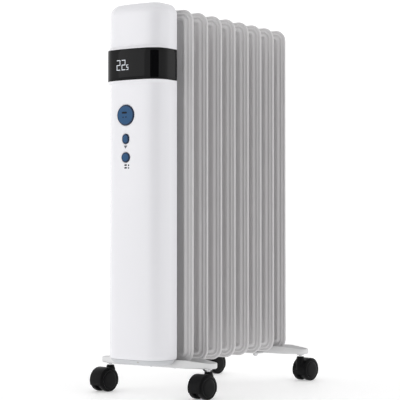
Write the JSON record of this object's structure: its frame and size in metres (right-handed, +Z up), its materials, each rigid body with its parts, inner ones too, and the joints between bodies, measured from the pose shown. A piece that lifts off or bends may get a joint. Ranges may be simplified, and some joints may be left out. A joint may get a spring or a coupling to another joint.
{
  "type": "oil filled radiator heater",
  "caption": "Upright oil filled radiator on castors: a stack of pressed steel fins behind a white control tower with a dark display window.",
  "frame": {"origin": "on the floor, under the middle of the whole heater's box", "axes": "+Z up, +Y from the control tower towards the rear fin, +X across the fins"},
  "size_m": [0.2352, 0.4168, 0.63],
  "materials": {
    "fin_paint": "satin powder coat",
    "foot_paint": "satin powder coat",
    "tower_plastic": "satin white",
    "base_plastic": "satin pale grey",
    "window_plastic": "polished black",
    "digit_light": "lit white",
    "button_plastic": "gloss blue",
    "castor_plastic": "fine grained black",
    "wheel_plastic": "satin black",
    "bright_steel": "zinc plated",
    "element_steel": "bright",
    "flange_brass": "machined",
    "seal_rubber": "matte",
    "terminal_ceramic": "matte off-white",
    "lead_sleeve": "woven sleeve",
    "black_plastic": "matte",
    "relay_plastic": "matte blue",
    "circuit_board": "lacquered green"
  },
  "bodies": {
    "heater": {"fin_1": "fin_paint", "fin_2": "fin_paint", "fin_3": "fin_paint", "fin_4": "fin_paint", "fin_5": "fin_paint", "fin_6": "fin_paint", "fin_7": "fin_paint", "fin_8": "fin_paint", "lower_necks": "fin_paint", "upper_necks": "fin_paint", "header_caps": "fin_paint", "front_foot": "foot_paint", "rear_foot": "foot_paint", "tower_front": "tower_plastic", "tower_base": "base_plastic", "tower_back": "base_plastic", "display_window": "window_plastic", "display_digits": "digit_light", "castor_stems": "bright_steel", "stem_nuts": "bright_steel", "u_bolts": "bright_steel", "u_bolt_nuts": "bright_steel", "oil_filler_plug": "bright_steel", "tower_screws": "bright_steel", "tower_brackets": "bright_steel", "cutout_clip": "bright_steel", "heating_elements": "element_steel", "room_sensor": "element_steel", "element_flange": "flange_brass", "element_gasket": "seal_rubber", "terminal_beads": "terminal_ceramic", "terminal_block": "terminal_ceramic", "element_leads": "lead_sleeve", "thermal_cutout": "black_plastic", "tilt_switch": "black_plastic", "tact_switches": "black_plastic", "cable_gland": "black_plastic", "relays": "relay_plastic", "display_board": "circuit_board", "control_board": "circuit_board", "power_board": "circuit_board"},
    "castor_front_left": {"hood_front_left": "castor_plastic", "axle_front_left": "bright_steel"},
    "wheel_front_left_outer": {"wheel_front_left_outer": "wheel_plastic"},
    "wheel_front_left_inner": {"wheel_front_left_inner": "wheel_plastic"},
    "castor_front_right": {"hood_front_right": "castor_plastic", "axle_front_right": "bright_steel"},
    "wheel_front_right_outer": {"wheel_front_right_outer": "wheel_plastic"},
    "wheel_front_right_inner": {"wheel_front_right_inner": "wheel_plastic"},
    "castor_rear_left": {"hood_rear_left": "castor_plastic", "axle_rear_left": "bright_steel"},
    "wheel_rear_left_outer": {"wheel_rear_left_outer": "wheel_plastic"},
    "wheel_rear_left_inner": {"wheel_rear_left_inner": "wheel_plastic"},
    "castor_rear_right": {"hood_rear_right": "castor_plastic", "axle_rear_right": "bright_steel"},
    "wheel_rear_right_outer": {"wheel_rear_right_outer": "wheel_plastic"},
    "wheel_rear_right_inner": {"wheel_rear_right_inner": "wheel_plastic"},
    "main_button": {"main_button": "button_plastic"},
    "net_button": {"net_button": "button_plastic"},
    "mode_button": {"mode_button": "button_plastic"}
  },
  "joints": [
    {"name": "castor_front_left_swivel", "type": "hinge", "parent": "heater", "child": "castor_front_left", "pos_m": [-0.0977, -0.12574, 0.0428], "axis": [0, 0, 1], "continuous": true},
    {"name": "wheel_front_left_outer_spin", "type": "hinge", "parent": "castor_front_left", "child": "wheel_front_left_outer", "pos_m": [-0.09997, -0.14006, 0.019], "axis": [0.9877, -0.1564, 0], "continuous": true},
    {"name": "wheel_front_left_inner_spin", "type": "hinge", "parent": "castor_front_left", "child": "wheel_front_left_inner", "pos_m": [-0.09997, -0.14006, 0.019], "axis": [0.9877, -0.1564, 0], "continuous": true},
    {"name": "castor_front_right_swivel", "type": "hinge", "parent": "heater", "child": "castor_front_right", "pos_m": [0.0977, -0.12574, 0.0428], "axis": [0, 0, 1], "continuous": true},
    {"name": "wheel_front_right_outer_spin", "type": "hinge", "parent": "castor_front_right", "child": "wheel_front_right_outer", "pos_m": [0.09543, -0.14006, 0.019], "axis": [0.9877, -0.1564, 0], "continuous": true},
    {"name": "wheel_front_right_inner_spin", "type": "hinge", "parent": "castor_front_right", "child": "wheel_front_right_inner", "pos_m": [0.09543, -0.14006, 0.019], "axis": [0.9877, -0.1564, 0], "continuous": true},
    {"name": "castor_rear_left_swivel", "type": "hinge", "parent": "heater", "child": "castor_rear_left", "pos_m": [-0.0977, 0.17126, 0.0428], "axis": [0, 0, 1], "continuous": true},
    {"name": "wheel_rear_left_outer_spin", "type": "hinge", "parent": "castor_rear_left", "child": "wheel_rear_left_outer", "pos_m": [-0.09543, 0.18558, 0.019], "axis": [0.9877, -0.1564, 0], "continuous": true},
    {"name": "wheel_rear_left_inner_spin", "type": "hinge", "parent": "castor_rear_left", "child": "wheel_rear_left_inner", "pos_m": [-0.09543, 0.18558, 0.019], "axis": [0.9877, -0.1564, 0], "continuous": true},
    {"name": "castor_rear_right_swivel", "type": "hinge", "parent": "heater", "child": "castor_rear_right", "pos_m": [0.0977, 0.17126, 0.0428], "axis": [0, 0, 1], "continuous": true},
    {"name": "wheel_rear_right_outer_spin", "type": "hinge", "parent": "castor_rear_right", "child": "wheel_rear_right_outer", "pos_m": [0.09997, 0.18558, 0.019], "axis": [0.9877, -0.1564, 0], "continuous": true},
    {"name": "wheel_rear_right_inner_spin", "type": "hinge", "parent": "castor_rear_right", "child": "wheel_rear_right_inner", "pos_m": [0.09997, 0.18558, 0.019], "axis": [0.9877, -0.1564, 0], "continuous": true},
    {"name": "main_button_press", "type": "slide", "parent": "heater", "child": "main_button", "axis": [0, 1, 0], "range_m": [0, 0.0015], "stiffness_N_per_m": 400},
    {"name": "net_button_press", "type": "slide", "parent": "heater", "child": "net_button", "axis": [0, 1, 0], "range_m": [0, 0.0015], "stiffness_N_per_m": 400},
    {"name": "mode_button_press", "type": "slide", "parent": "heater", "child": "mode_button", "axis": [0, 1, 0], "range_m": [0, 0.0015], "stiffness_N_per_m": 400}
  ]
}
